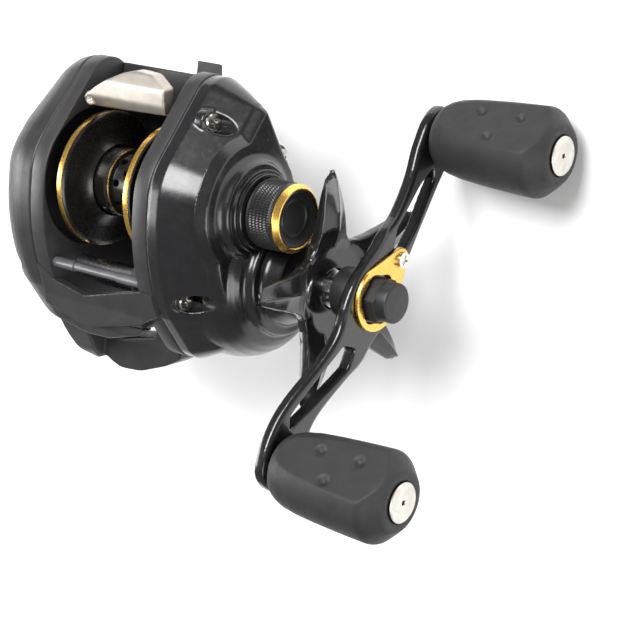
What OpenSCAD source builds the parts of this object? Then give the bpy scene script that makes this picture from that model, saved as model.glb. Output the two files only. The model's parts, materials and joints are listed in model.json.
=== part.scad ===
// Low-profile baitcasting reel, left-hand retrieve, millimetres.
// +X points to the rod tip, +Y to the handle side, +Z up.
// The origin is the centre of the seat face under the reel foot.

/* [Frame] */
// Spool axis, forward of the middle of the foot
spool_x = -4; // [-6:0.5:-2]
// Spool axis, above the seat face of the foot
spool_z = 25; // [24:0.5:28]
// Radius of the frame over the spool
frame_r = 18; // [17.8:0.1:19]
// Inner face of each side ring, from the middle of the spool
ring_in = 14.8; // [14.6:0.1:15.4]
// Thickness of each side ring
ring_t = 4.4; // [4:0.2:5]
// Wall thickness of the covers
wall = 1.8; // [1.4:0.1:2.2]

/* [Spool] */
// Radius of the spool flanges
flange_r = 16.3; // [15.5:0.1:16.6]
// Radius of the spool hub, under the line
hub_r = 8.3; // [7.5:0.1:9]
// Outer face of each spool flange, from the middle of the spool
flange_y = 12.8; // [12.2:0.1:13.2]
// Radius of the spool shaft
spool_shaft_r = 1.15; // [1:0.05:1.2]

/* [Drive] */
// Drive axis, forward of the spool axis
drive_fwd = 17.5; // [17:0.1:18.5]
// Drive axis, below the spool axis
drive_drop = 9.7; // [9:0.1:10.4]
// Teeth on the main gear
main_teeth = 71; // [64:1:73]
// Teeth on the pinion
pinion_teeth = 10; // [10:1:12]
// Teeth on the gear that turns the level wind
lw_teeth = 46; // [45:1:47]
// Teeth on the gear of the worm shaft
worm_teeth = 14; // [13:1:15]
// Radius of the gear case
case_r = 21.5; // [21:0.1:22]

/* [Level wind] */
// Worm axis, forward of the spool axis
worm_fwd = 21.5; // [21.2:0.1:21.8]
// Worm axis, above the spool axis
worm_up = 5; // [4.7:0.1:5.3]
// Radius of the worm shaft
worm_r = 2.6; // [2.4:0.1:2.8]
// Where the line guide rests, from the middle of the spool
guide_y = 9; // [0:0.5:9.5]

/* [Handle] */
// From the drive axis to each knob axis
handle_reach = 44; // [40:0.5:46]
// Angle of the handle above the forward direction
handle_angle = 38.8; // [0:0.1:90]
// Outer face of the middle of the handle
handle_y = 65.5; // [65.5:0.5:67]
// How far the ends of the handle step in towards the reel
handle_step = 3.2; // [2:0.1:3.5]
// Outer end of the knobs
knob_end = 96.5; // [94:0.5:98]
// Half of the broad width of a knob
knob_a = 11; // [10:0.1:12]
// Half of the narrow width of a knob
knob_b = 9; // [8:0.1:10]
// How far the broad way of a knob is turned past the handle
knob_turn = 12; // [0:1:90]
// Radius of the star wheel at its tips
star_r = 30; // [28:0.5:30.5]
// Angle of the first arm of the star wheel
star_angle = 25.3; // [0:0.1:72]

/* [Hidden] */
$fn = 64;
eps = 0.01;
fit = 0.05;       // radial clearance of a running fit

drive_x = spool_x + drive_fwd;
drive_z = spool_z - drive_drop;
drive_dist = norm([drive_fwd, drive_drop]);
drive_dir = atan2(drive_drop, -drive_fwd);      // from the drive axis to the spool axis
worm_x = spool_x + worm_fwd;
worm_z = spool_z + worm_up;
worm_dist = norm([worm_fwd - drive_fwd, worm_up + drive_drop]);
worm_dir = atan2(worm_up + drive_drop, worm_fwd - drive_fwd);
main_m = 2 * drive_dist / (main_teeth + pinion_teeth);
lw_m = 2 * worm_dist / (lw_teeth + worm_teeth);

ring_out = ring_in + ring_t;
floor_z = -21.5;                 // underside of the frame, from the spool axis
rear_c = [-21.5, -4.5];          // centre of the round rear end
rear_r = 7.5;
belly_c = [-3, -6];              // centre of the curve under the spool
belly_r = 15.5;
crown_c = [5, -31.7];            // centre of the long curve over the top
crown_r = 50;
nose_c = [31.8, 0.8];            // centre of the round nose
nose_r = 7.1;
bore_r = 17.2;                   // opening that the spool passes through
web_t = 2;                       // web of the gear side ring
plate_y = 38;                    // outer face of the gear case
disc_y = 40.5;                   // raised disc around the drive shaft
neck_y = 44.6;                   // end of the neck that holds the one-way bearing
palm_y = -33;                    // outer face of the palm side plate
guide_w = 7;                     // width of the line guide along the worm
guide_path = [-12.5, 13];        // sides of the line guide at the two ends of its travel
eye_c = [8.6, 3.6];              // eye of the line guide, from the worm axis
eye_front = 1.2;                 // half the depth of the eye
eye_top = 3.4;                   // top of the eye, above eye_c
guide_rod_c = [27.2, -2.2];      // guide rod of the line guide, from the spool axis
guide_bar_c = [19.5, 13.8];      // bar behind the hood, from the spool axis
screw_spots = [[-19.5, 3.7], [22, 11.6], [-9.5, -15.2]];  // side plate screws, from the spool axis
screw_heads = [26, 25.6, 31];    // where each screw head rests
palm_spots = [[-21, -1], [22, 11.6], [-5, -18.4]];  // palm plate screws, from the spool axis
palm_head = -22;
foot_screws_x = [-8, 0, 8];

// ---- placing ----
// Cylinder along Y from y0 to y1, centred on [x, z].
module rod(c, r, y0, y1, r2 = -1) {
    translate([c[0], y0, c[1]]) rotate([-90, 0, 0]) cylinder(r1 = r, r2 = r2 < 0 ? r : r2, h = y1 - y0);
}

// Outline in X and Z, extruded along Y from y0 to y1.
module slab(y0, y1) {
    translate([0, y1, 0]) rotate([90, 0, 0]) linear_extrude(y1 - y0) children();
}

// Profile of radius against Y, turned about an axis along Y through c.
module turned(c, profile) {
    translate([c[0], 0, c[1]]) rotate([-90, 0, 0]) rotate_extrude() polygon(profile);
}

// Frame outline that draws in from inset in0 at y0 to in1 at y1, in n steps.
module stepped(y0, y1, in0, in1, n) {
    for (i = [0:n - 1]) {
        ya = y0 + (y1 - y0) * (i - 0.01) / n;
        yb = y0 + (y1 - y0) * (i + 1) / n;
        slab(min(ya, yb), max(ya, yb)) frame_shape(in0 + (in1 - in0) * i / (n - 1));
    }
}

// Tube along Y.
module tube(c, r_out, r_in, y0, y1) {
    difference() {
        rod(c, r_out, y0, y1);
        rod(c, r_in, y0 - 1, y1 + 1);
    }
}

spool_c = [spool_x, spool_z];
drive_c = [drive_x, drive_z];
worm_c = [worm_x, worm_z];
function from_spool(p) = [spool_x + p[0], spool_z + p[1]];
function arc(c, r, a0, a1, n = 10) =
    [for (i = [0:n]) let (a = a0 + (a1 - a0) * i / n) [c[0] + r * cos(a), c[1] + r * sin(a)]];

// Side view of the frame, drawn in by `inset`, from the spool axis.
function frame_outline(inset = 0) = concat(
    arc([0, 0], frame_r - inset, 99, 132, 8),
    arc(rear_c, rear_r - inset, 133, 227, 14),
    arc(belly_c, belly_r - inset, 228, 270, 6),
    arc([drive_fwd, -drive_drop], case_r - inset, asin((floor_z + drive_drop + inset) / (case_r - inset)), 8, 12),
    arc(nose_c, nose_r - inset, 3, 52, 8),
    arc(crown_c, crown_r - inset, 64, 96.5, 10)
);

module frame_shape(inset = 0) {
    translate(spool_c) polygon(frame_outline(inset));
}

module side_shape(inset = 0) {
    frame_shape(inset);
    translate(drive_c) circle(r = case_r - inset);
}

// ---- gears ----
function inv(a) = tan(a) * 180 / PI - a;
// Half of a tooth's angle at radius r, for pitch radius rp and base radius rb.
function half_tooth(r, rp, rb, teeth, play) =
    90 / teeth - play / rp * 90 / PI + inv(acos(rb / rp)) - inv(acos(min(1, rb / max(r, rb))));
// Involute gear outline: tip and root are in modules, play is the backlash in mm.
function gear_outline(teeth, m, tip, root, play) =
    let (rp = m * teeth / 2, rb = rp * cos(20), ra = rp + tip * m, rf = rp - root * m,
         radii = [rf, max(rb, rf + eps), rp, ra])
    [for (i = [0:teeth - 1]) let (a = 360 * i / teeth)
        each concat(
            [for (r = radii) let (h = half_tooth(r, rp, rb, teeth, play)) [r * cos(a - h), r * sin(a - h)]],
            [for (k = [3:-1:0]) let (r = radii[k], h = half_tooth(r, rp, rb, teeth, play))
                [r * cos(a + h), r * sin(a + h)]])];

module gear(c, teeth, m, angle, y0, y1, tip = 0.9, root = 1.2, play = 0.06) {
    slab(y0, y1) translate(c) rotate(angle) polygon(gear_outline(teeth, m, tip, root, play));
}

// ---- frame and what is fixed to it ----
hood_plan = [
    [20, -19.1], [23.6, -15], [26.1, -4.9], [21, 15], [21, 19.1], [27, 19.1], [28, 16.5], [30.2, 12.5],
    [34.2, -5], [34, -7], [30.6, -19.1]
];
hood_side = [[19, 16.6], [24, 14.9], [28, 13.6], [34.5, 12.9], [34.5, 11.2], [28, 11.6], [24, 12.4], [19, 13.4]];
lip_plan = [
    [27, -19.1], [29, -14], [33, -5], [29, 12], [27, 18], [29.6, 16], [33.7, 10.6], [37, -0.4], [37.4, -8],
    [35, -17], [33, -19.1]
];
lip_side = [[26, 12], [34, 11.4], [37.5, 9.4], [37.5, 7.4], [34, 8.6], [26, 10]];
chin_plan = [
    [33, -15], [38, -10.1], [39.7, -5.5], [37.1, 6.4], [33.5, 7.5], [33, 15], [41, 15], [44.2, 9], [47.5, 0],
    [48, -7], [45, -13], [43, -15]
];
chin_side = [[30, 1], [40, 1], [48.5, -0.5], [49, -3], [48, -7], [42, -9], [30, -9]];
cheek_plan = [[24, -19.1], [40, -19.1], [44.5, -17.5], [46.5, -12], [38, -10.1], [33, -15], [24, -15.2]];
cheek_side = [
    [24, 14.3], [28, 12.5], [32.6, 10.5], [37, 8], [44, 3.8], [47.5, 0], [47, -6], [40, -8.5], [24, -9]
];

// Plan outline in X and Y cut to a side outline in X and Z, both from the spool axis.
module plan_and_side(plan, side) {
    intersection() {
        translate([spool_x, 0, spool_z - 30]) linear_extrude(60) polygon(plan);
        slab(-ring_out, ring_out) translate(spool_c) polygon(side);
    }
}

module screw_bore(p, r, y0, y1) {
    rod(from_spool(p), r, y0, y1);
}

module frame() {
    color("dimgray") difference() {
        union() {
            slab(-ring_out, -ring_in) frame_shape();
            slab(ring_in, ring_out) frame_shape();
            // floor and rear cross-member
            slab(-ring_in - eps, ring_in + eps) difference() {
                frame_shape();
                translate([spool_x - 40, spool_z - 9]) square([100, 60]);
                translate(spool_c) circle(r = 18);
                translate([drive_x + 3, spool_z - 19]) square([60, 20]);
                translate([spool_x + 12, spool_z - 19]) square([60, 20]);
            }
            plan_and_side(hood_plan, hood_side);
            plan_and_side(lip_plan, lip_side);
            plan_and_side(cheek_plan, cheek_side);
            plan_and_side(chin_plan, chin_side);
            rod(from_spool([8, -19]), 2.4, -ring_in - eps, ring_in + eps);
        }
        rod(spool_c, bore_r, -ring_out - 1, ring_out - web_t);
        rod(spool_c, 5.05, ring_out - web_t - 1, ring_out + 1);
        rod(drive_c, 3.55, ring_in - 1, ring_out + 1);
        rod(worm_c, 3.1, -ring_out + 1, ring_out + 1);
        rod(from_spool(guide_rod_c), 1.02, -ring_out + 1, ring_out - 1);
        rod(from_spool(guide_bar_c), 1.32, -ring_out + 1, ring_out - 1);
        for (p = screw_spots) screw_bore(p, 0.95, ring_in + 0.8, ring_out + 1);
        for (p = palm_spots) screw_bore(p, 0.95, -ring_out - 1, -ring_in - 0.8);
        for (x = foot_screws_x) translate([x, 0, -1]) cylinder(r = 1.05, h = 8);
        guide_room();
    }
}

// Room in the hood and lip for the eye of the line guide, over the whole of its travel.
module guide_room() {
    room = 0.35;
    slab(guide_path[0] - 2 * room, guide_path[1] + room)
        translate([worm_x + eye_c[0] - eye_front - 2 * room, worm_z])
            square([2 * eye_front + 3 * room, eye_c[1] + eye_top + room]);
}

// Curved plate that the reel seat of a rod clamps at both ends.
module reel_foot() {
    top = spool_z + floor_z;
    color("dimgray") difference() {
        intersection() {
            slab(-6.5, 6.5) polygon(concat(
                [[-31, 0], [31, 0], [31.5, 1.1], [20, 2.4], [15, top]],
                [[-14, top], [-20, 2.4], [-31.5, 1.1]]));
            union() {
                translate([-22, -6.5, -1]) cube([44, 13, 10]);
                translate([-22, 0, -1]) cylinder(r = 6.5, h = 10);
                translate([22, 0, -1]) cylinder(r = 6.5, h = 10);
                translate([-32, -3.6, -1]) cube([64, 7.2, 10]);
            }
        }
        for (x = foot_screws_x) {
            translate([x, 0, -1]) cylinder(r = 1.05, h = 8);
            translate([x, 0, -1]) cylinder(r = 1.9, h = 2.2);
        }
    }
}

module foot_screws() {
    color("silver") for (x = foot_screws_x) {
        translate([x, 0, 0.3]) cylinder(r = 1.85, h = 0.9);
        translate([x, 0, 1]) cylinder(r = 1, h = 4.5);
    }
}

module guide_bar() {
    c = from_spool(guide_bar_c);
    color("gray") union() {
        rod(c, 1.3, -ring_out + 1.1, -8);
        rod(c, 1.05, -8.5, 7);
        rod(c, 1.3, 6.5, ring_out - 1.1);
    }
}

module guide_rod() {
    color("silver") rod(from_spool(guide_rod_c), 1, -ring_out + 1.1, ring_out - 1.1);
}

module palm_side_plate() {
    color("dimgray") difference() {
        union() {
            slab(-ring_out - 4, -ring_out - fit) frame_shape(0.2);
            stepped(-ring_out - 4, -ring_out - 9, 0.4, 2, 3);
            stepped(-ring_out - 9, palm_y, 2.4, 7, 5);
            rod(spool_c, bore_r - 0.1, -ring_out - 1, -ring_in - 1.6);
        }
        rod(spool_c, flange_r + 0.2, -ring_out + 0.6, -ring_in);
        tube(spool_c, 15.2, 6.2, -ring_out - 8.8, -ring_in);
        slab(-ring_out - 7, -ring_out + 0.4) difference() {
            frame_shape(3.2);
            translate(spool_c) circle(r = bore_r - 0.1);
            for (p = palm_spots) translate(from_spool(p)) circle(r = 2.9);
        }
        rod(spool_c, 4.02, -ring_out - 1.2, -ring_in);
        rod(spool_c, 2.6, -ring_out - 2.2, -ring_in);
        rod(spool_c, 9, palm_y - 1, palm_y + 1.8);
        rod(spool_c, 3.05, palm_y - 1, -ring_out - 5);
        for (p = palm_spots) {
            rod(from_spool(p), 1.05, palm_y - 5, -ring_out + 1);
            rod(from_spool(p), 2, palm_y - 5, palm_head);
        }
    }
}

module palm_plate_screws() {
    color("silver") for (p = palm_spots) {
        rod(from_spool(p), 1.85, palm_head - 1.2, palm_head);
        rod(from_spool(p), 0.9, palm_head - eps, -ring_in - 1.2);
    }
}

// Ball bearing drawn as two races and a shield between them.
module bearing(c, r_out, r_in, y0, y1) {
    w = (r_out - r_in) / 3;
    color("silver") difference() {
        rod(c, r_out, y0, y1);
        rod(c, r_in, y0 - 1, y1 + 1);
        tube(c, r_out - w, r_in + w, y0 - 1, y0 + 0.25);
        tube(c, r_out - w, r_in + w, y1 - 0.25, y1 + 1);
    }
}

module palm_bearing() {
    bearing(spool_c, 4, spool_shaft_r + fit, -ring_out - 1.1, -ring_out + 1.6);
}

module palm_bearing_clip() {
    color("silver") tube(spool_c, 3.9, 3, -ring_out + 1.65, -ring_out + 2);
}

module gear_side_plate() {
    y0 = ring_out + 0.9;
    color("black") difference() {
        union() {
            slab(y0, y0 + 3) frame_shape(0.2);
            stepped(y0 + 3, 33, 0.4, 3.6, 5);
            stepped(33, 36, 4.4, 7, 4);
            rod(drive_c, case_r, y0 + eps, 34);
            rod(drive_c, case_r, 34, plate_y, case_r - 2.2);
            rod(drive_c, 14, plate_y - eps, disc_y);
            rod(drive_c, 11, disc_y - eps, neck_y, 9);
            rod(spool_c, 11.2, 30, 38.3);
            rod(spool_c, 9.9, 38, 39.3);
            rod(spool_c, 9, 39, 40.2);
            rod(spool_c, 7, 40, 44.2);
        }
        difference() {
            union() {
                slab(y0 - 1, y0 + 2.6) frame_shape(0.2 + wall);
                slab(y0 - 1, 30.6) frame_shape(5.4);
                rod(drive_c, case_r - 0.6 - wall, y0 - 1.2, 35.8);
                rod(worm_c, 4.4, y0 - 1, y0 + 2.6);
                rod(worm_c, 3, y0, 25);
                rod(spool_c, 3.3, 29, 33.9);
            }
            for (i = [0:2]) {
                rod(from_spool(screw_spots[i]), 2.2, y0, 23.5);
                rod(from_spool(screw_spots[i]), 3, 23.4, screw_heads[i] + 3);
            }
        }
        rod(spool_c, spool_shaft_r + 0.5, 30, 45);
        rod(spool_c, 4.02, 41.2, 45);
        rod(drive_c, 7.02, 35, 43);
        rod(drive_c, 4.75, 42, 46);
        for (i = [0:2]) {
            rod(from_spool(screw_spots[i]), 1.05, y0 - 1, 37);
            rod(from_spool(screw_spots[i]), 2.3, screw_heads[i], 39);
        }
    }
}

module side_plate_screws() {
    color("silver") for (i = [0:2]) {
        c = from_spool(screw_spots[i]);
        rod(c, 0.9, ring_in + 1.2, screw_heads[i] + eps);
        difference() {
            rod(c, 2.15, screw_heads[i], screw_heads[i] + 1.1);
            for (a = [0, 90]) slab(screw_heads[i] + 0.6, screw_heads[i] + 2) translate(c)
                rotate(a) square([2.6, 0.5], center = true);
        }
    }
}

// Thin steel plate between the gear side ring and the gears.
module set_plate() {
    color("silver") difference() {
        slab(ring_out + fit, ring_out + 0.85) side_shape(0.4);
        rod(spool_c, 3.4, ring_out - 1, ring_out + 2);
        rod(drive_c, 3.55, ring_out - 1, ring_out + 2);
        rod(worm_c, 3.1, ring_out - 1, ring_out + 2);
        for (p = screw_spots) rod(from_spool(p), 1.05, ring_out - 1, ring_out + 2);
    }
}

module pinion_bearing() {
    bearing(spool_c, 5, 3.05, ring_out - web_t, ring_out);
}

module shaft_bushing() {
    color("goldenrod") union() {
        tube(drive_c, 3.5, 2.05, ring_in, ring_out + 0.8);
        difference() {
            rod(drive_c, 3.5, ring_in, ring_in + 0.6);
            rod(drive_c, 1, ring_in - 1, ring_in + 1);
        }
    }
}

module worm_bushings() {
    color("goldenrod") {
        tube(worm_c, 3.05, 1.65, -ring_out + 1.1, -ring_in);
        tube(worm_c, 3.05, 1.65, ring_in, ring_out + 0.8);
    }
}

yoke_post_dir = drive_dir + 90;      // the posts stand either side of the spool axis
function yoke_post(s) = [spool_x + s * 7.2 * cos(yoke_post_dir), spool_z + s * 7.2 * sin(yoke_post_dir)];

module yoke_posts() {
    color("silver") for (s = [-1, 1]) {
        rod(yoke_post(s), 0.9, ring_out + 0.85, 29.4);
        rod(yoke_post(s), 1.5, 29.3, 29.9);
    }
}

module one_way_bearing() {
    color("silver") tube(drive_c, 7, 4.3, 36.2, 42.6);
}

module cap_bearing() {
    bearing(spool_c, 4, spool_shaft_r + fit, 41.3, 44);
}

module cap_o_ring() {
    color("black") turned(spool_c, [for (i = [0:11]) [7.3 + 0.25 * cos(30 * i), 40.78 + 0.25 * sin(30 * i)]]);
}

// ---- what turns with the handle ----
module drive_shaft() {
    color("silver") difference() {
        union() {
            rod(drive_c, 2, ring_in + 0.7, ring_out + 0.9);
            rod(drive_c, 2.6, ring_out + 0.85, 24.4);
            rod(drive_c, 4, 22.6, 23);
            rod(drive_c, 2.4, 24.3, 66.5);
        }
        for (a = [0, 180]) slab(46, 60.5) translate(drive_c) rotate(a) translate([2.1, -3]) square([3, 6]);
    }
}

module ratchet_wheel() {
    color("silver") difference() {
        slab(23.05, 23.85) translate(drive_c) polygon([for (i = [0:11], k = [0, 1])
            let (a = 30 * i + (k == 0 ? 0 : 26), r = k == 0 ? 6.6 : 8.6) [r * cos(a), r * sin(a)]]);
        rod(drive_c, 2.65, 22, 25);
    }
}

module level_wind_gear() {
    color("whitesmoke") difference() {
        gear(drive_c, lw_teeth, lw_m, worm_dir, 20.5, 22.5);
        rod(drive_c, 2.65, 20, 23);
    }
}

module main_gear() {
    color("goldenrod") difference() {
        union() {
            gear(drive_c, main_teeth, main_m, drive_dir, 25.8, 29.8, 0.8, 1.15);
            rod(drive_c, 5, 24.3, 26);
        }
        rod(drive_c, 3.2, 24, 31);
        rod(drive_c, 14.6, 28.2, 31);
        for (a = [0:60:300]) rod([drive_x + 9.4 * cos(a), drive_z + 9.4 * sin(a)], 2.4, 25, 30);
    }
}

module drag_washers() {
    color("black") {
        tube(drive_c, 14.3, 3.3, 28.25, 29);
        tube(drive_c, 14.3, 3.3, 29.65, 30.4);
    }
}

module drag_plates() {
    color("silver") {
        tube(drive_c, 14.3, 3.3, 29.05, 29.6);
        tube(drive_c, 14.3, 3.3, 30.45, 31.4);
    }
}

module one_way_sleeve() {
    color("silver") union() {
        tube(drive_c, 6.4, 2.45, 31.45, 32.6);
        tube(drive_c, 4.25, 2.45, 32.5, 45.2);
    }
}

module spring_washers() {
    color("silver") for (y = [45.3, 46.1])
        turned(drive_c, [[2.6, y], [2.6, y + 0.25], [4.2, y + 0.6], [4.2, y + 0.35]]);
}

// Side view of the handle, from the drive axis along the handle.
function handle_profile(y) = [
    [-handle_reach - 7, y - handle_step], [-handle_reach + 6, y - handle_step], [-12, y], [12, y],
    [handle_reach - 6, y - handle_step], [handle_reach + 7, y - handle_step]
];
handle_t = 3;        // thickness of the handle
handle_plan = [      // one half of the plan outline, the other half is the same turned half round
    [-9, 7], [0, 8.6], [6, 8], [12, 5.8], [20, 6], [30, 7.5], [38, 7.9], [handle_reach, 7],
    [handle_reach + 5, 4.5], [handle_reach + 6.4, 0], [handle_reach + 5, -4.3], [handle_reach, -6],
    [38, -5.2], [30, -3.6], [20, -4.8], [14, -6.6]
];
window_plan = [[12.5, -1.5], [17, -3], [30, 0.6], [36.5, 3], [34, 5], [22, 3.9], [14, 2.4]];

module handle_place() {
    translate([drive_x, 0, drive_z]) rotate([0, -handle_angle, 0]) children();
}

function turned_half(p) = [for (q = p) -q];

module handle_arm() {
    color("black") difference() {
        handle_place() intersection() {
            slab(50, 70) polygon(concat(handle_plan, turned_half(handle_plan)));
            translate([0, 0, -20]) linear_extrude(40)
                polygon(concat(handle_profile(handle_y), [for (i = [5:-1:0]) handle_profile(handle_y - handle_t)[i]]));
        }
        handle_place() slab(50, 70) {
            polygon(window_plan);
            polygon(turned_half(window_plan));
        }
        rod(drive_c, 2.45, 50, 70);
        rod(nut_screw_c, 0.95, handle_y - 1.2, 70);
        for (s = [-1, 1]) rod(knob_c(s), 1.9, 50, 70);
    }
}

function knob_c(s) = [drive_x + s * handle_reach * cos(handle_angle), drive_z + s * handle_reach * sin(handle_angle)];

// Point at radius r and angle a past the handle's direction, from c.
function polar(c, r, a) = [c[0] + r * cos(handle_angle + a), c[1] + r * sin(handle_angle + a)];

nut_plate_r = 8.2;        // round end of the plate, about the drive axis
nut_tip_r = 2.8;          // round end about the screw
nut_screw_out = 11.4;     // from the drive axis to the screw
nut_screw_dir = 187;      // direction of the screw, from that of the handle
nut_screw_c = polar(drive_c, nut_screw_out, nut_screw_dir);

module nut_plate() {
    lean = acos((nut_plate_r - nut_tip_r) / nut_screw_out);
    r0 = nut_plate_r - 0.2;
    r1 = nut_tip_r - 0.2;
    color("gold") difference() {
        union() {
            rod(drive_c, nut_plate_r, handle_y + 0.02, handle_y + 1);
            rod(nut_screw_c, nut_tip_r, handle_y + 0.02, handle_y + 1);
            slab(handle_y + 0.03, handle_y + 0.99) polygon([
                polar(drive_c, r0, nut_screw_dir - lean), polar(nut_screw_c, r1, nut_screw_dir - lean),
                polar(nut_screw_c, r1, nut_screw_dir + lean), polar(drive_c, r0, nut_screw_dir + lean)]);
        }
        slab(handle_y - 1, handle_y + 2) translate(drive_c) rotate(handle_angle) circle(r = 5.9, $fn = 6);
        rod(nut_screw_c, 1, handle_y - 1, handle_y + 2);
    }
}

module nut_plate_screw() {
    color("silver") difference() {
        union() {
            rod(nut_screw_c, 0.9, handle_y - 0.9, handle_y + 1.1);
            rod(nut_screw_c, 1.9, handle_y + 1.02, handle_y + 1.9);
        }
        for (a = [0, 90]) slab(handle_y + 1.5, handle_y + 3) translate(nut_screw_c)
            rotate(a + 20) square([2.4, 0.5], center = true);
    }
}

module handle_nut() {
    color("dimgray") difference() {
        union() {
            slab(handle_y + 0.02, handle_y + 3.6) translate(drive_c) rotate(handle_angle) circle(r = 5.6, $fn = 6);
            rod(drive_c, 4.4, handle_y + 3.5, handle_y + 6);
            rod(drive_c, 4.4, handle_y + 5.95, handle_y + 6.4, 4);
        }
        rod(drive_c, 2.45, handle_y - 1, handle_y + 1.3);
    }
}

module knob_posts() {
    color("silver") for (s = [-1, 1]) {
        rod(knob_c(s), 1.85, handle_y - handle_step - handle_t - 0.6, knob_end - 2);
        rod(knob_c(s), 3, handle_y - handle_step - handle_t - 1.2, handle_y - handle_step - handle_t - 0.05);
        rod(knob_c(s), 2.8, handle_y - handle_step + 0.05, handle_y - handle_step + 0.7);
    }
}

// ---- star wheel ----
module star_wheel() {
    arm = [[3, -6.5], [10, -7], [16, -5], [25, -2.6], [star_r - 0.8, -1.2], [star_r, 0],
        [star_r - 0.8, 1.2], [25, 3], [16, 5.4], [10, 7], [3, 6.5]];
    color("black") difference() {
        union() {
            rod(drive_c, 9.2, 48.4, 52, 13.4);
            rod(drive_c, 13.4, 52 - eps, 54.4);
            intersection() {
                slab(50.8, 57.6) for (k = [0:4]) translate(drive_c) rotate(star_angle + 72 * k) polygon(arm);
                turned(drive_c, [[0, 51], [13, 50.8], [22, 53.6], [star_r + 1, 55.4], [star_r + 1, 57.2], [20, 57.6],
                    [10, 55.6], [0, 55]]);
            }
        }
        slab(40, 60) translate(drive_c) circle(r = 5.05, $fn = 6);
        rod(drive_c, 10, 53.4, 58);
    }
}

module star_nut() {
    color("silver") difference() {
        union() {
            rod(drive_c, 4.6, 46.9, 48.3);
            slab(48.2, 53.2) translate(drive_c) circle(r = 5, $fn = 6);
        }
        rod(drive_c, 2.45, 46, 54);
    }
}

// ---- knobs ----
// Rounded section of a knob, as a multiple of its full size.
function knob_section(k) =
    [for (i = [0:31]) let (a = 360 * i / 32, e = 0.72)
        [k * knob_a * sign(cos(a)) * pow(abs(cos(a)), e), k * knob_b * sign(sin(a)) * pow(abs(sin(a)), e)]];

module knob_grip(s) {
    y0 = handle_y - handle_step + 0.9;
    color("dimgray") difference() {
        hull() {
            slab(y0, y0 + 0.1) translate(knob_c(s)) rotate(handle_angle + knob_turn) polygon(knob_section(0.5));
            slab(y0 + 6, y0 + 6.1) translate(knob_c(s)) rotate(handle_angle + knob_turn) polygon(knob_section(0.86));
            slab(knob_end - 5, knob_end - 4) translate(knob_c(s)) rotate(handle_angle + knob_turn) polygon(knob_section(1));
            slab(knob_end - 1, knob_end - 0.6) translate(knob_c(s)) rotate(handle_angle + knob_turn)
                polygon(knob_section(0.72));
        }
        rod(knob_c(s), 2.4, y0 - 1, knob_end);
        rod(knob_c(s), 4.02, knob_end - 1.8, knob_end + 1);
        rod(knob_c(s), 3.02, y0 - 1, y0 + 3);
        rod(knob_c(s), 3.02, knob_end - 5, knob_end);
    }
}

module knob_bushings(s) {
    y0 = handle_y - handle_step + 0.95;
    color("goldenrod") {
        tube(knob_c(s), 3, 1.9, y0, y0 + 2.9);
        tube(knob_c(s), 3, 1.9, knob_end - 4.95, knob_end - 2);
    }
}

module knob_cap(s) {
    color("silver") difference() {
        union() {
            rod(knob_c(s), 4, knob_end - 1.75, knob_end - 0.4);
            rod(knob_c(s), 4.6, knob_end - 0.55, knob_end);
        }
        rod(knob_c(s), 0.5, knob_end - 0.8, knob_end + 1);
    }
}

module knob_a_grip() { knob_grip(1); }
module knob_a_bushings() { knob_bushings(1); }
module knob_a_cap() { knob_cap(1); }
module knob_b_grip() { knob_grip(-1); }
module knob_b_bushings() { knob_bushings(-1); }
module knob_b_cap() { knob_cap(-1); }

// ---- spool ----
module spool() {
    f = flange_y;
    color("black") difference() {
        turned(spool_c, [
            [2, -f + 1], [6.6, -f + 1], [7.4, -f], [flange_r - 0.6, -f], [flange_r, -f + 0.4], [flange_r, -f + 0.9],
            [flange_r - 0.5, -f + 1.3], [12, -f + 2.6], [hub_r + 0.6, -f + 3.4], [hub_r, -f + 4.4],
            [hub_r, f - 4.4], [hub_r + 0.6, f - 3.4], [12, f - 2.6], [flange_r - 0.5, f - 1.3],
            [flange_r, f - 0.9], [flange_r, f - 0.4], [flange_r - 0.6, f], [7.4, f], [6.6, f - 1], [2, f - 1]
        ]);
        rod(spool_c, 6.2, -f - 1, -3);
        rod(spool_c, 6.2, 3, f + 1);
        rod(spool_c, spool_shaft_r, -20, 20);
        for (a = [0:45:315], y = [-2.4, 2.4]) translate([spool_x, y, spool_z]) rotate([0, a + 10, 0])
            translate([0, 0, 5]) cylinder(r = 0.9, h = 5);
    }
}

module spool_shaft() {
    color("silver") difference() {
        union() {
            rod(spool_c, spool_shaft_r, -ring_out - 1.6, 45);
            tube(spool_c, 2, spool_shaft_r - 0.1, -5, -3.02);
            tube(spool_c, 2, spool_shaft_r - 0.1, 3.02, 5);
        }
        slab(15.98, 16.92) translate(spool_c) rotate(drive_dir) square([7, 0.92], center = true);
    }
}

module spool_pin() {
    color("silver") slab(16, 16.9) translate(spool_c) rotate(drive_dir) square([6, 0.9], center = true);
}

module brake_ring() {
    color("silver") tube(spool_c, 13, 8.4, -flange_y - 1.1, -flange_y - 0.01);
}

// ---- clutch ----
module yoke() {
    color("silver") difference() {
        union() {
            for (s = [-1, 1]) rod(yoke_post(s), 2.2, 21.9, 22.9);
            slab(21.9, 22.9) translate(spool_c) rotate(yoke_post_dir) square([14.4, 4.4], center = true);
            slab(21.9, 22.9) translate(spool_c) circle(r = 4.2);
        }
        rod(spool_c, 2.45, 20, 24);
        for (s = [-1, 1]) rod(yoke_post(s), 0.97, 20, 24);
    }
}

module yoke_springs() {
    color("silver") for (s = [-1, 1]) tube(yoke_post(s), 1.45, 1.05, 22.95, 29.25);
}

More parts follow.
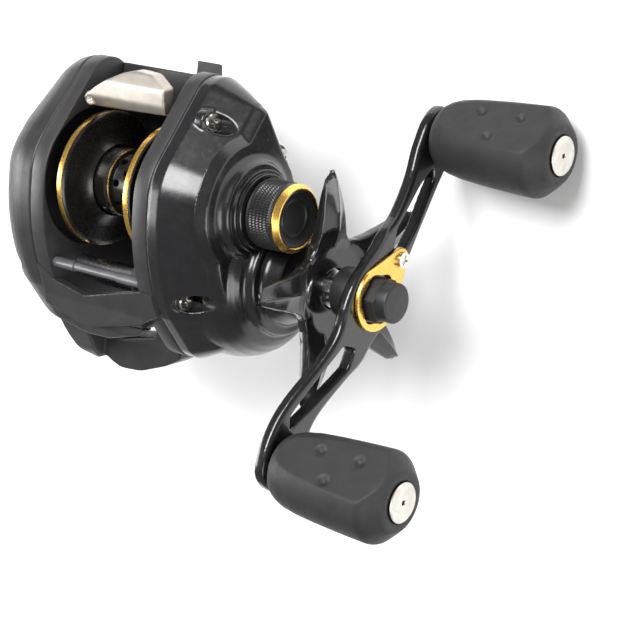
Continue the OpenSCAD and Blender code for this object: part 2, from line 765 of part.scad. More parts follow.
module pinion() {
    color("goldenrod") difference() {
        union() {
            rod(spool_c, 3, 16.4, 21.6);
            rod(spool_c, 2.4, 21.5, 23.6);
            rod(spool_c, 3, 23.5, 24.1);
            gear(spool_c, pinion_teeth, main_m, drive_dir + 180 + 180 / pinion_teeth, 24, 31.8, 0.9, 1.15, 0.08);
        }
        rod(spool_c, spool_shaft_r + fit, 15, 34);
        slab(15, 17.6) translate(spool_c) rotate(drive_dir) square([7, 1.1], center = true);
    }
}

module clutch_cam() {
    color("silver") difference() {
        union() {
            rod(spool_c, 6, 20.2, 20.8);
            slab(20.2, 20.8) translate(spool_c) rotate(yoke_post_dir - 50) translate([4, -1.5]) square([7, 3]);
        }
        rod(spool_c, 3.1, 19, 22);
    }
}

thumb_side = [     // side view of the thumb bar, from the spool axis
    [-19.1, 2.6], [-19.4, 4.6], [-22.5, 7.4], [-26.5, 7.2], [-29.4, 4], [-30.2, 0], [-29.6, -3.4], [-27.6, -3.4],
    [-27.4, 0.4], [-25.5, 3.6], [-22.5, 3.8], [-20.2, 2]
];

module thumb_bar() {
    w = 2 * ring_in - 0.5;
    color("silver") intersection() {
        slab(-w / 2, w / 2) translate(spool_c) polygon(thumb_side);
        translate([spool_x, 0, 0]) linear_extrude(60) polygon([
            [-18, -w / 2], [-18, w / 2], [-24.5, w / 2], [-28, w / 2 - 4], [-30, 5], [-30.6, 0], [-30, -5],
            [-28, -w / 2 + 4], [-24.5, -w / 2]]);
    }
}

// ---- level wind ----
module worm_shaft() {
    color("silver") union() {
        rod(worm_c, 1.6, -ring_out + 1.2, 24.4);
        rod(worm_c, worm_r, -ring_in + 0.2, ring_in - 0.2);
    }
}

module worm_gear() {
    color("whitesmoke") difference() {
        gear(worm_c, worm_teeth, lw_m, worm_dir + 180 + 180 / worm_teeth, 20.5, 22.5, 0.9, 1.2, 0.08);
        rod(worm_c, 1.6, 20, 23);
    }
}

module worm_clip() {
    color("silver") tube(worm_c, 2.6, 1.6, 22.55, 23.1);
}

module line_guide() {
    g = from_spool(guide_rod_c);
    eye_x = worm_x + eye_c[0];
    color("black") difference() {
        union() {
            rod(worm_c, 4.1, guide_y - guide_w / 2, guide_y + guide_w / 2);
            slab(guide_y - guide_w / 2, guide_y + guide_w / 2) polygon([
                [worm_x - 1, worm_z - 3], [g[0] - 2.2, g[1]], [g[0] - 1, g[1] - 2], [g[0] + 1.2, g[1] - 2],
                [g[0] + 2.2, g[1]], [worm_x + 4.6, worm_z], [eye_x + eye_front, worm_z + eye_c[1] - 2.9],
                [eye_x + eye_front, worm_z + eye_c[1] + eye_top], [eye_x - eye_front, worm_z + eye_c[1] + eye_top],
                [eye_x - eye_front, worm_z + 1.3], [worm_x + 2, worm_z]]);
        }
        rod(worm_c, worm_r + fit, 0, 20);
        rod(g, 1.05, 0, 20);
        translate([worm_x, guide_y, worm_z + eye_c[1] + 0.6]) rotate([0, 90, 0]) cylinder(r = 2.4, h = 12);
        translate([worm_x, guide_y, worm_z - 8]) cylinder(r = 1.35, h = 7);
        translate([worm_x, guide_y, worm_z - 8]) cylinder(r = 2.25, h = 3.5);
    }
}

module line_guide_insert() {
    translate([worm_x + eye_c[0] - 1.4, guide_y, worm_z + eye_c[1] + 0.6]) rotate([0, 90, 0])
        color("white") difference() {
            union() {
                cylinder(r = 2.38, h = 2.8);
                cylinder(r = 2.7, h = 0.19);
                translate([0, 0, 2.61]) cylinder(r = 2.7, h = 0.19);
            }
            translate([0, 0, -1]) cylinder(r = 1.5, h = 5);
        }
}

module guide_pawl() {
    color("goldenrod") translate([worm_x, guide_y, worm_z - worm_r - 1.9]) cylinder(r = 1.3, h = 1.8);
}

module pawl_cap() {
    color("black") translate([worm_x, guide_y, worm_z - 5.6]) union() {
        cylinder(r = 2.2, h = 1);
        translate([0, 0, 0.9]) cylinder(r = 1.3, h = 0.15);
    }
}

// ---- spool tension cap ----
module tension_cap() {
    color("dimgray") difference() {
        union() {
            rod(spool_c, 8.3, 40.9, 47.4, 8);
            rod(spool_c, 7.2, 47.3, 48.9);
        }
        rod(spool_c, 7.06, 40, 44.3);
        rod(spool_c, 7.65, 40, 41.1);
        rod(spool_c, 4.2, 44.2, 45.2);
        rod(spool_c, 6.3, 48.1, 50);
    }
}

module tension_ring() {
    color("gold") tube(spool_c, 8.25, 7.22, 47.45, 49);
}

// ---- brake dial ----
module brake_dial() {
    color("dimgray") union() {
        difference() {
            rod(spool_c, 8.9, palm_y - 0.9, palm_y + 1.7);
            for (a = [0:20:340]) translate([spool_x + 9.3 * cos(a), 0, spool_z + 9.3 * sin(a)])
                rotate([-90, 0, 0]) translate([0, 0, palm_y - 2]) cylinder(r = 0.8, h = 4.2);
        }
        rod(spool_c, 3, palm_y + 1.6, -ring_out - 5.1);
    }
}

module magnet_holder() {
    color("gray") difference() {
        rod(spool_c, 14.6, -ring_out - 1.6, -ring_out + 0.4);
        rod(spool_c, 6.3, -ring_out - 3, -ring_out + 2);
        for (a = [0:45:315]) rod([spool_x + 10.6 * cos(a), spool_z + 10.6 * sin(a)], 1.6, -ring_out - 0.6, 0);
    }
}

frame();
reel_foot();
foot_screws();
guide_bar();
guide_rod();
palm_side_plate();
palm_plate_screws();
palm_bearing();
palm_bearing_clip();
gear_side_plate();
side_plate_screws();
set_plate();
pinion_bearing();
shaft_bushing();
worm_bushings();
yoke_posts();
one_way_bearing();
cap_bearing();
cap_o_ring();
drive_shaft();
ratchet_wheel();
level_wind_gear();
main_gear();
drag_washers();
drag_plates();
one_way_sleeve();
spring_washers();
handle_arm();
nut_plate();
nut_plate_screw();
handle_nut();
knob_posts();
star_wheel();
star_nut();
knob_a_grip();
knob_a_bushings();
knob_a_cap();
knob_b_grip();
knob_b_bushings();
knob_b_cap();
spool();
spool_shaft();
spool_pin();
brake_ring();
yoke();
yoke_springs();
pinion();
clutch_cam();
thumb_bar();
worm_shaft();
worm_gear();
worm_clip();
line_guide();
line_guide_insert();
guide_pawl();
pawl_cap();
tension_cap();
tension_ring();
brake_dial();
magnet_holder();
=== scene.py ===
"""Baitcasting reel: the visual pieces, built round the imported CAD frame.

Sizes in this file are millimetres in the row frame unless a name says otherwise:
+X to the rod tip, +Y to the handle side, +Z up from the rod.
"""
import json
import math

import bmesh
import bpy
from mathutils import Matrix, Vector


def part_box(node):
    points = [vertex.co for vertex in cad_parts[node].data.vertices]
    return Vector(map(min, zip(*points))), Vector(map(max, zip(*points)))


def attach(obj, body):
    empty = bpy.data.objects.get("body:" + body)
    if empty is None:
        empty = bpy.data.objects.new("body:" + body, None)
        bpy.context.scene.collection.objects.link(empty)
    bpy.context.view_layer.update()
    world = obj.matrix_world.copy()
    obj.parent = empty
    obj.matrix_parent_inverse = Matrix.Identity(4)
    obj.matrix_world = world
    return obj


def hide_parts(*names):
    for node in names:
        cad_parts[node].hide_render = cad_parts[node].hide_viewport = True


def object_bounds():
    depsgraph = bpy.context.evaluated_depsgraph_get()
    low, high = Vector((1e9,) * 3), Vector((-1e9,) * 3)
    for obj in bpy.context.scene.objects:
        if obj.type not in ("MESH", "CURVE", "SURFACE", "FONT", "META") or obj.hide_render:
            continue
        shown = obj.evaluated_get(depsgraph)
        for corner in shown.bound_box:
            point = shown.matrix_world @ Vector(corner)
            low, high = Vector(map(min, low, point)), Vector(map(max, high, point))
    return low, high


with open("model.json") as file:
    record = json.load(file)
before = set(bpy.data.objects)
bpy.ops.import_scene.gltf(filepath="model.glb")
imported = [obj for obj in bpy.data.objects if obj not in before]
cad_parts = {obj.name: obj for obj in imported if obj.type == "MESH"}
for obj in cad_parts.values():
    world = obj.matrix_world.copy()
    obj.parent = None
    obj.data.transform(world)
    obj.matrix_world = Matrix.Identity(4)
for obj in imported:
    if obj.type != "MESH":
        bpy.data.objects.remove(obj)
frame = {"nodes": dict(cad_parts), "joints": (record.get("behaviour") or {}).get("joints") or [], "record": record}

cad_low, cad_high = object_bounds()
MM = 0.001
PALM, GEAR = -1, 1       # sides of the reel along Y
JOINTS = {j["name"]: j for j in frame["joints"]}


def axis_of(joint):
    """X and Z of a joint that turns about an axis along Y."""
    place = JOINTS[joint]["pos_m"]
    return place[0] / MM, place[2] / MM


def low(node, axis):
    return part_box(node)[0]["xyz".index(axis)] / MM


def high(node, axis):
    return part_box(node)[1]["xyz".index(axis)] / MM


SPOOL = axis_of("spool_spin")
DRIVE = axis_of("handle_spin")
WORM = axis_of("worm_spin")
KNOBS = {"knob_a": axis_of("knob_a_spin"), "knob_b": axis_of("knob_b_spin")}
HANDLE_TURN = math.atan2(KNOBS["knob_a"][1] - DRIVE[1], KNOBS["knob_a"][0] - DRIVE[0])

# ---- outlines ------------------------------------------------------------


def arc(centre, radius, start, end, steps):
    """Points on an arc, from start to end degrees."""
    angles = [math.radians(start + (end - start) * i / steps) for i in range(steps + 1)]
    return [(centre[0] + radius * math.cos(a), centre[1] + radius * math.sin(a)) for a in angles]


def soften(corners, reach, closed=True, steps=4):
    """The path through corners with each one rounded; a third value in a corner is its own reach."""
    path = []
    for i, corner in enumerate(corners):
        here = Vector(corner[:2])
        if not closed and i in (0, len(corners) - 1):
            path.append(tuple(here))
            continue
        before = Vector(corners[i - 1][:2]) - here
        after = Vector(corners[(i + 1) % len(corners)][:2]) - here
        own = corner[2] if len(corner) > 2 else reach
        if own <= 0:
            path.append(tuple(here))
            continue
        a = here + before.normalized() * min(own, before.length * 0.45)
        b = here + after.normalized() * min(own, after.length * 0.45)
        for k in range(steps + 1):
            t = k / steps
            path.append(tuple(a * (1 - t) ** 2 + here * 2 * t * (1 - t) + b * t ** 2))
    return path


def curve_through(points, steps=6, closed=True):
    """A smooth path through the points."""
    path = []
    count = len(points)
    last = count if closed else count - 1
    for i in range(last):
        if closed:
            p = [Vector(points[(i + k) % count]) for k in (-1, 0, 1, 2)]
        else:
            p = [Vector(points[min(max(i + k, 0), count - 1)]) for k in (-1, 0, 1, 2)]
        for k in range(steps):
            t = k / steps
            q = 0.5 * (2 * p[1] + (p[2] - p[0]) * t + (2 * p[0] - 5 * p[1] + 4 * p[2] - p[3]) * t ** 2
                       + (3 * p[1] - p[0] - 3 * p[2] + p[3]) * t ** 3)
            path.append(tuple(q))
    if not closed:
        path.append(tuple(points[-1]))
    return path


def drawn_in(path, inset):
    """A closed path moved inwards by inset."""
    area = sum(a[0] * b[1] - b[0] * a[1] for a, b in zip(path, path[1:] + path[:1]))
    side = 1 if area > 0 else -1
    moved = []
    for i, p in enumerate(path):
        along = Vector(path[(i + 1) % len(path)]) - Vector(path[i - 1])
        along.normalize()
        moved.append((p[0] - side * inset * along.y, p[1] + side * inset * along.x))
    return moved


def from_spool(path):
    return [(SPOOL[0] + p[0], SPOOL[1] + p[1]) for p in path]


FRAME_R = 18
FLOOR_Z = -21.5
REAR_C, REAR_R = (-21.5, -4.5), 7.5
BELLY_C, BELLY_R = (-3, -6), 15.5
CROWN_C, CROWN_R = (5, -31.7), 50
NOSE_C, NOSE_R = (31.8, 0.8), 7.1
CASE_R = 21.5
CASE_C = (DRIVE[0] - SPOOL[0], DRIVE[1] - SPOOL[1])


def frame_outline(inset=0.0):
    """Side view of the frame, drawn in by inset."""
    start = math.degrees(math.asin((FLOOR_Z - CASE_C[1] + inset) / (CASE_R - inset)))
    return from_spool(
        arc((0, 0), FRAME_R - inset, 99, 132, 14)
        + arc(REAR_C, REAR_R - inset, 133, 227, 24)
        + arc(BELLY_C, BELLY_R - inset, 228, 270, 12)
        + arc(CASE_C, CASE_R - inset, start, 8, 24)
        + arc(NOSE_C, NOSE_R - inset, 3, 52, 12)
        + arc(CROWN_C, CROWN_R - inset, 64, 96.5, 20)
    )


# ---- solids --------------------------------------------------------------


def skin(loops, wrap=False):
    """Closed shell through loops of equal length; wrap joins the last loop to the first."""
    width, rows = len(loops[0]), len(loops)
    faces = []
    for i in range(rows if wrap else rows - 1):
        a, b = i * width, (i + 1) % rows * width
        faces += [(a + j, a + (j + 1) % width, b + (j + 1) % width, b + j) for j in range(width)]
    if not wrap:
        faces.append(tuple(range(width)))
        faces.append(tuple(range((rows - 1) * width, rows * width)))
    return [p for loop in loops for p in loop], faces


def turned(centre, profile, steps=96, wrap=False):
    """Profile of (radius, y) turned about an axis along Y; wrap makes it a ring."""
    loops = []
    for radius, y in profile:
        turn = [2 * math.pi * k / steps for k in range(steps)]
        loops.append([(centre[0] + radius * math.cos(a), y, centre[1] + radius * math.sin(a)) for a in turn])
    return skin(loops, wrap)


def ring(centre, r_in, r_out, y0, y1, edge=0.15, steps=96):
    """Flat ring with softened edges."""
    corners = [(r_in, y0), (r_out, y0), (r_out, y1), (r_in, y1)]
    return turned(centre, soften(corners, edge, steps=3), steps, wrap=True)


def rod(centre, radius, y0, y1, edge=0.0, steps=64):
    """Round bar along Y; edge softens both ends."""
    if edge <= 0:
        return turned(centre, [(radius, y0), (radius, y1)], steps)
    inner = max(radius - edge * 2, radius * 0.4)
    corners = [(inner, y0), (radius, y0), (radius, y1), (inner, y1)]
    return turned(centre, soften(corners, edge, closed=False, steps=4), steps)


def slab(path, y0, y1, edge=0.0):
    """Path in X and Z, extruded along Y; edge softens both rims."""
    if edge <= 0:
        return skin([[(x, y, z) for x, z in path] for y in (y0, y1)])
    corners = [(edge * 2, y0), (0, y0), (0, y1), (edge * 2, y1)]
    loops = []
    for inset, y in soften(corners, edge, closed=False, steps=3):
        loops.append([(x, y, z) for x, z in drawn_in(path, inset)])
    return skin(loops)


def rectangle(x0, x1, z0, z1):
    return [(x0, z0), (x1, z0), (x1, z1), (x0, z1)]


def prism(path, z0, z1):
    """Path in X and Y, extruded along Z."""
    return skin([[(x, y, z) for x, y in path] for z in (z0, z1)])


def sections(outline, profile):
    """Shell through outline(inset) at each y of a profile of (inset, y)."""
    return skin([[(x, y, z) for x, z in outline(inset)] for inset, y in profile])


def build(name, *solids):
    """One object from shells given in millimetres."""
    mesh = bpy.data.meshes.new(name)
    points, faces = [], []
    for some_points, some_faces in solids:
        base = len(points)
        points += [tuple(v * MM for v in p) for p in some_points]
        faces += [tuple(i + base for i in f) for f in some_faces]
    mesh.from_pydata(points, [], faces)
    bm = bmesh.new()
    bm.from_mesh(mesh)
    bmesh.ops.recalc_face_normals(bm, faces=bm.faces)
    bm.to_mesh(mesh)
    bm.free()
    obj = bpy.data.objects.new(name, mesh)
    bpy.context.scene.collection.objects.link(obj)
    return obj


def settle(obj):
    """Applies the object's modifiers."""
    graph = bpy.context.evaluated_depsgraph_get()
    graph.update()
    mesh = bpy.data.meshes.new_from_object(obj.evaluated_get(graph))
    obj.modifiers.clear()
    obj.data = mesh
    return obj


def combine(obj, operation, *solids):
    """Unites, intersects or subtracts each solid in turn."""
    for solid in solids:
        tool = build("tool", solid)
        modifier = obj.modifiers.new("combine", "BOOLEAN")
        modifier.operation = operation
        modifier.solver = "EXACT"
        modifier.object = tool
        settle(obj)
        bpy.data.objects.remove(tool)
    return obj


def unite(obj, *solids):
    return combine(obj, "UNION", *solids)


def cut(obj, *solids):
    return combine(obj, "DIFFERENCE", *solids)


def graft(obj, other):
    """Adds the shell of another object to obj, for melt to join."""
    bm = bmesh.new()
    bm.from_mesh(obj.data)
    bm.from_mesh(other.data)
    bm.to_mesh(obj.data)
    bm.free()
    bpy.data.objects.remove(other)
    return obj


def melt(obj, voxel=0.3, rounds=6, strength=0.5):
    """Joins the shells of obj into one skin of even faces and rounds its edges, as a casting has them."""
    remesh = obj.modifiers.new("remesh", "REMESH")
    remesh.mode = "VOXEL"
    remesh.voxel_size = voxel * MM
    smooth = obj.modifiers.new("smooth", "SMOOTH")
    smooth.factor = strength
    smooth.iterations = rounds
    return settle(obj)


def bend(obj, place):
    """Moves each vertex of obj, in millimetres, to where place sends it."""
    for v in obj.data.vertices:
        v.co = Vector(place(*(v.co / MM))) * MM
    obj.data.update()
    return obj


def finish_piece(obj, body, slot, nodes=(), sharp=32):
    """Gives a piece the material of its slot, smooth shading and its body, and hides the CAD nodes that it stands
    for.
    """
    obj.data.materials.clear()
    obj.data.materials.append(MATERIALS[slot])
    for polygon in obj.data.polygons:
        polygon.use_smooth = True
    if sharp:
        obj.data.set_sharp_from_angle(angle=math.radians(sharp))
    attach(obj, body)
    if nodes:
        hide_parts(*nodes)
    return obj


# ---- materials -----------------------------------------------------------


class Finish:
    """A Principled material in the making; textures read the row frame, so sizes are millimetres."""

    def __init__(self, slot, roughness=0.4, metallic=0.0, **sockets):
        self.material = bpy.data.materials.new(slot)
        self.material.use_nodes = True
        self.tree = self.material.node_tree
        self.shader = self.tree.nodes["Principled BSDF"]
        self.shader.inputs["Roughness"].default_value = roughness
        self.shader.inputs["Metallic"].default_value = metallic
        for name, value in sockets.items():
            self.shader.inputs[name.replace("_", " ")].default_value = value
        self.place = self.tree.nodes.new("ShaderNodeTexCoord").outputs["Object"]
        self.height = None

    def node(self, kind, **inputs):
        made = self.tree.nodes.new(kind)
        for name, value in inputs.items():
            socket = made.inputs[name.replace("_", " ")]
            if isinstance(value, bpy.types.NodeSocket):
                self.tree.links.new(value, socket)
            else:
                socket.default_value = value
        return made

    def noise(self, size, detail=3.0, stretch=(1, 1, 1)):
        place = self.node("ShaderNodeMapping", Vector=self.place, Scale=stretch).outputs[0]
        texture = self.node("ShaderNodeTexNoise", Vector=place, Scale=1 / (size * MM), Detail=detail)
        return texture.outputs["Fac"]

    def turning(self, centre, pitch):
        """Fine rings about an axis along Y."""
        away = self.node("ShaderNodeVectorMath")
        away.operation = "SUBTRACT"
        self.tree.links.new(self.place, away.inputs[0])
        away.inputs[1].default_value = (centre[0] * MM, 0, centre[1] * MM)
        flat = self.node("ShaderNodeVectorMath")
        flat.operation = "MULTIPLY"
        self.tree.links.new(away.outputs[0], flat.inputs[0])
        flat.inputs[1].default_value = (1, 0, 1)
        far = self.node("ShaderNodeVectorMath")
        far.operation = "LENGTH"
        self.tree.links.new(flat.outputs[0], far.inputs[0])
        wave = self.node("ShaderNodeMath")
        wave.operation = "SINE"
        turns = self.node("ShaderNodeMath")
        turns.operation = "MULTIPLY"
        self.tree.links.new(far.outputs["Value"], turns.inputs[0])
        turns.inputs[1].default_value = 2 * math.pi / (pitch * MM)
        self.tree.links.new(turns.outputs[0], wave.inputs[0])
        return wave.outputs[0]

    def between(self, source, lowest, highest, start=0.3, end=0.7):
        made = self.node("ShaderNodeMapRange", Value=source)
        for name, value in (("From Min", start), ("From Max", end), ("To Min", lowest), ("To Max", highest)):
            made.inputs[name].default_value = value
        return made.outputs[0]

    def colour(self, source, first, second, start=0.3, end=0.7):
        """Base colour that drifts between two colours."""
        ramp = self.node("ShaderNodeValToRGB", Fac=source)
        ramp.color_ramp.elements[0].position = start
        ramp.color_ramp.elements[0].color = (*first, 1)
        ramp.color_ramp.elements[1].position = end
        ramp.color_ramp.elements[1].color = (*second, 1)
        self.tree.links.new(ramp.outputs["Color"], self.shader.inputs["Base Color"])
        return self

    def roughness(self, source, lowest, highest):
        self.tree.links.new(self.between(source, lowest, highest), self.shader.inputs["Roughness"])
        return self

    def bump(self, source, depth, strength=1.0):
        """Adds relief of that depth in millimetres."""
        made = self.node("ShaderNodeBump", Height=source)
        made.inputs["Strength"].default_value = strength
        made.inputs["Distance"].default_value = depth * MM
        if self.height is not None:
            self.tree.links.new(self.height, made.inputs["Normal"])
        self.height = made.outputs[0]
        self.tree.links.new(self.height, self.shader.inputs["Normal"])
        return self


def painted(slot, first, second, rough, grain=0.12, depth=0.006, **sockets):
    """Paint or moulded plastic: slow drift in colour, finer drift in gloss, and a fine grain."""
    finish = Finish(slot, **sockets)
    finish.colour(finish.noise(4.0), first, second)
    finish.roughness(finish.noise(1.2, 5), *rough)
    finish.bump(finish.noise(grain, 4), depth)
    return finish.material


def machined(slot, first, second, rough, centre=None, pitch=0.12, depth=0.004, **sockets):
    """Bare or anodised metal with tool marks: rings about a centre, or fine brushing along Y."""
    finish = Finish(slot, metallic=1.0, **sockets)
    finish.colour(finish.noise(2.5), first, second)
    finish.roughness(finish.noise(0.5, 4), *rough)
    if centre:
        finish.bump(finish.turning(centre, pitch), depth, 0.5)
    else:
        finish.bump(finish.noise(0.15, 3, stretch=(1, 0.06, 1)), depth)
    return finish.material


MATERIALS = {
    "body_satin": painted("body_satin", (0.022, 0.021, 0.022), (0.030, 0.029, 0.030), (0.36, 0.46),
                          Specular_IOR_Level=0.4),
    "cover_satin": painted("cover_satin", (0.018, 0.017, 0.018), (0.025, 0.024, 0.025), (0.34, 0.44),
                           Specular_IOR_Level=0.4),
    "cover_gloss": painted("cover_gloss", (0.006, 0.006, 0.007), (0.010, 0.009, 0.010), (0.2, 0.28),
                           grain=0.5, depth=0.002, Coat_Weight=0.25, Coat_Roughness=0.16),
    "foot_metal": painted("foot_metal", (0.030, 0.030, 0.032), (0.045, 0.045, 0.048), (0.35, 0.5)),
    "screw_steel": machined("screw_steel", (0.62, 0.60, 0.55), (0.78, 0.76, 0.70), (0.12, 0.25)),
    "bar_grey": painted("bar_grey", (0.11, 0.11, 0.12), (0.16, 0.16, 0.17), (0.3, 0.42), metallic=0.5),
    "shaft_steel": machined("shaft_steel", (0.50, 0.50, 0.51), (0.62, 0.62, 0.63), (0.16, 0.28)),
    "bearing_steel": machined("bearing_steel", (0.58, 0.58, 0.60), (0.70, 0.70, 0.72), (0.1, 0.2)),
    "spring_steel": machined("spring_steel", (0.42, 0.42, 0.43), (0.55, 0.55, 0.56), (0.2, 0.35)),
    "plate_steel": machined("plate_steel", (0.30, 0.30, 0.31), (0.42, 0.42, 0.43), (0.25, 0.4)),
    "bushing_bronze": machined("bushing_bronze", (0.42, 0.27, 0.11), (0.55, 0.36, 0.17), (0.35, 0.5)),
    "seal_rubber": painted("seal_rubber", (0.012, 0.012, 0.012), (0.02, 0.02, 0.02), (0.55, 0.7)),
    "gear_nylon": painted("gear_nylon", (0.62, 0.60, 0.54), (0.72, 0.70, 0.64), (0.4, 0.5),
                          Subsurface_Weight=0.1, Subsurface_Scale=0.001),
    "gear_brass": machined("gear_brass", (0.62, 0.43, 0.16), (0.74, 0.53, 0.22), (0.18, 0.3)),
    "drag_fibre": painted("drag_fibre", (0.02, 0.02, 0.02), (0.05, 0.05, 0.05), (0.5, 0.65), grain=0.4,
                          depth=0.03),
    "handle_gloss": painted("handle_gloss", (0.006, 0.006, 0.006), (0.010, 0.009, 0.010), (0.16, 0.24),
                            grain=0.4, depth=0.002, Coat_Weight=0.3, Coat_Roughness=0.08),
    "gold_anodised": machined("gold_anodised", (0.80, 0.49, 0.11), (0.86, 0.54, 0.14), (0.24, 0.3),
                              depth=0.0008),
    "nut_grey": painted("nut_grey", (0.014, 0.014, 0.015), (0.02, 0.02, 0.021), (0.4, 0.5),
                        metallic=0.2),
    "knob_rubber": painted("knob_rubber", (0.018, 0.018, 0.018), (0.024, 0.024, 0.025), (0.5, 0.62),
                           grain=0.08, depth=0.01, Specular_IOR_Level=0.35),
    "cap_steel": machined("cap_steel", (0.52, 0.49, 0.45), (0.66, 0.63, 0.58), (0.25, 0.38)),
    "spool_black": painted("spool_black", (0.004, 0.0035, 0.003), (0.007, 0.006, 0.005), (0.24, 0.3),
                           grain=0.6, depth=0.0008, Coat_Weight=0.15, Coat_Roughness=0.2),
    "ring_alloy": machined("ring_alloy", (0.55, 0.55, 0.57), (0.66, 0.66, 0.68), (0.2, 0.3)),
    "thumb_silver": painted("thumb_silver", (0.37, 0.335, 0.295), (0.45, 0.415, 0.37), (0.3, 0.4), grain=0.5,
                            depth=0.003, metallic=0.8),
    "guide_plastic": painted("guide_plastic", (0.03, 0.03, 0.03), (0.045, 0.045, 0.045), (0.4, 0.5)),
    "insert_ceramic": painted("insert_ceramic", (0.08, 0.08, 0.09), (0.12, 0.12, 0.13), (0.08, 0.15)),
    "cap_black": painted("cap_black", (0.012, 0.012, 0.012), (0.018, 0.018, 0.018), (0.3, 0.42),
                         metallic=0.2),
    "magnet_grey": painted("magnet_grey", (0.18, 0.18, 0.20), (0.24, 0.24, 0.26), (0.3, 0.4)),
}

for row in frame["record"]["subparts"]:
    node = frame["nodes"][row["node"]]
    node.data.materials.clear()
    node.data.materials.append(MATERIALS[row["material_slot"]])

# ---- frame ---------------------------------------------------------------
RING_IN = 14.8
RING_OUT = high("frame", "y")
BORE_R = 17.2
WEB_Y = RING_OUT - 2
HOOD_PLAN = [(20, -19.2), (23.6, -15), (26.1, -4.9), (21, 15), (21, 19), (27, 19.1), (28, 16.8), (30.4, 12.5),
             (34.2, -5), (34, -7), (30.6, -19.2)]
HOOD_SIDE = [(19, 16.7), (24, 15.0), (28, 13.8), (34.6, 13.0), (34.6, 11.2), (28, 11.6), (24, 12.4),
             (19, 13.4)]
LIP_PLAN = [
    (27, -19), (29, -14), (33, -5), (29, 12), (27, 18), (29.6, 16), (33.7, 10.6), (37, -0.4), (37.4, -8),
    (35, -17), (33, -19),
]
LIP_SIDE = [(26, 12), (34, 11.4), (37.5, 9.4), (37.5, 7.4), (34, 8.6), (26, 10)]
CHIN_PLAN = [
    (33, -15), (38, -10.1), (39.7, -5.5), (37.1, 6.4), (33.5, 7.5), (33, 15), (41, 15), (44.2, 9), (47.5, 0),
    (48, -7), (45, -13), (43, -15),
]
CHIN_SIDE = [(30, 1), (40, 1), (48.5, -0.5), (49, -3), (48, -7), (42, -9), (30, -9)]
CHEEK_PLAN = [(24, -19), (40, -19), (44.5, -17.5), (46.5, -12), (38, -10.1), (33, -15), (24, -15.2)]
CHEEK_SIDE = [(24, 14.3), (28, 12.5), (32.6, 10.5), (37, 8), (44, 3.8), (47.5, 0), (47, -6), (40, -8.5),
              (24, -9)]
WORM_OUT = 3.1           # bore for a bushing of the worm
FAR = 30                 # beyond either side ring along Y
GUIDE_TOP = high("line_guide", "z") - SPOOL[1]


def plan_and_side(name, plan, side, corner=0.8):
    """Solid that has one outline from above and another from the side."""
    shift = [(SPOOL[0] + p[0], *p[1:]) for p in plan]
    obj = build(name, prism(soften(shift, corner), SPOOL[1] - FAR, SPOOL[1] + FAR))
    return combine(obj, "INTERSECT", slab(soften(from_spool(side), corner), -FAR, FAR))


def make_ring(name, side):
    """One side ring of the frame; side is PALM or GEAR."""
    profile = [(0.30, RING_IN), (0.08, RING_IN + 0.1), (0, RING_IN + 0.35), (0, RING_OUT - 0.3),
               (0.09, RING_OUT - 0.08), (0.3, RING_OUT)]
    obj = build(name, sections(frame_outline, [(inset, side * y) for inset, y in profile]))
    end = RING_OUT + 1 if side == PALM else WEB_Y
    cut(obj, turned(SPOOL, [(BORE_R + 0.4, side * (RING_IN - 1)), (BORE_R + 0.4, side * (RING_IN - 0.01)),
                            (BORE_R, side * (RING_IN + 0.4)), (BORE_R, side * end)], 144))
    return obj


def make_frame():
    palm_ring = make_ring("frame_palm_ring", PALM)
    gear_ring = make_ring("frame_gear_ring", GEAR)
    cut(gear_ring, rod(SPOOL, 5.05, WEB_Y - 1, RING_OUT + 1), rod(DRIVE, 3.55, RING_IN - 1, RING_OUT + 1),
        rod(WORM, WORM_OUT, RING_IN - 1, RING_OUT + 1))
    cut(palm_ring, rod(WORM, WORM_OUT, -RING_OUT + 1, -RING_IN + 1))
    reach = RING_IN + 0.2
    floor = build("frame_floor", skin([[(x, y, z) for x, z in frame_outline()] for y in (-reach, reach)]))
    above, front, gap = SPOOL[1] - 9, SPOOL[0] + 12, SPOOL[1] - 19
    cut(floor,
        slab(rectangle(SPOOL[0] - 60, SPOOL[0] + 60, above, above + 60), -FAR, FAR),
        slab(rectangle(front, front + 60, gap, gap + FAR), -FAR, FAR),
        rod(SPOOL, FRAME_R, -FAR, FAR, steps=144))
    bar = from_spool([(8, -19)])[0]
    unite(floor, rod(bar, 2.4, -RING_IN - 0.1, RING_IN + 0.1))
    melt(floor, 0.35, 4)
    hood = melt(plan_and_side("frame_hood", HOOD_PLAN, HOOD_SIDE, 0.5), 0.2, 5)
    top = GUIDE_TOP + 0.4
    room = rectangle(28.1, 31.8, 5, top)     # path of the line guide's eye
    cut(hood, slab(from_spool(room), -14, 14))
    chin = plan_and_side("frame_chin", CHIN_PLAN, CHIN_SIDE, 1.2)
    graft(chin, plan_and_side("cheek", CHEEK_PLAN, CHEEK_SIDE, 1.2))
    graft(chin, plan_and_side("lip", LIP_PLAN, LIP_SIDE, 0.6))
    melt(chin, 0.25, 8)
    cut(chin, slab(from_spool(room), -14, 14))
    finish_piece(palm_ring, "reel_frame", "body_satin", ["frame"])
    for obj in (gear_ring, floor, hood, chin):
        finish_piece(obj, "reel_frame", "body_satin")


# ---- side plates ---------------------------------------------------------
PLATE_GAP = 0.25         # shadow line between the frame and a side plate
SCREW_SPOTS = [(-19.5, 3.7), (22, 11.6), (-9.5, -15.2)]
SCREW_HEADS = [26, 25.6, 31]
RIDGE_Y = 33.0           # where the sloped band ends and the outer face begins
CASE_TOP = 38.0
DISC_TOP = 40.5
NECK_TOP = high("gear_side_plate", "y")
PALM_SPOTS = [(-21, -1), (22, 11.6), (-5, -18.4)]
PALM_HEAD = -22
SCREW_R = 1.1            # bore for a side plate screw


